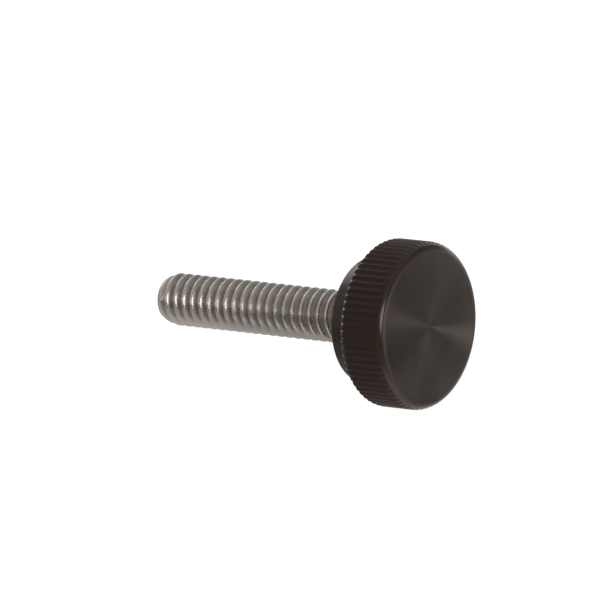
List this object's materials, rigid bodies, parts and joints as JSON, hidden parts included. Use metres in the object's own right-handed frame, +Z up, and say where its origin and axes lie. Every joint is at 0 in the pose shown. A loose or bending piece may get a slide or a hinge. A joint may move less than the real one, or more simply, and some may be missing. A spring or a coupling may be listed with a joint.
{
  "type": "thumb screw",
  "caption": "Thumb screw with a straight-knurled black round head, a smooth collar and a long stainless threaded stud, lying on its side.",
  "frame": {"origin": "centre of the bounding box's bottom face, on the surface that the screw lies on", "axes": "+Z up; the screw's axis lies in the XZ plane, 12.08 degrees above +X, with the head at +X and the stud's tip at -X; the screw touches the surface on two knurl teeth and on the first turn at the tip"},
  "size_m": [0.0406, 0.02, 0.0205],
  "materials": {
    "black_anodised": "satin",
    "stainless": "satin"
  },
  "bodies": {
    "root": {"knob_head": "black_anodised", "threaded_stud": "stainless"}
  },
  "joints": []
}
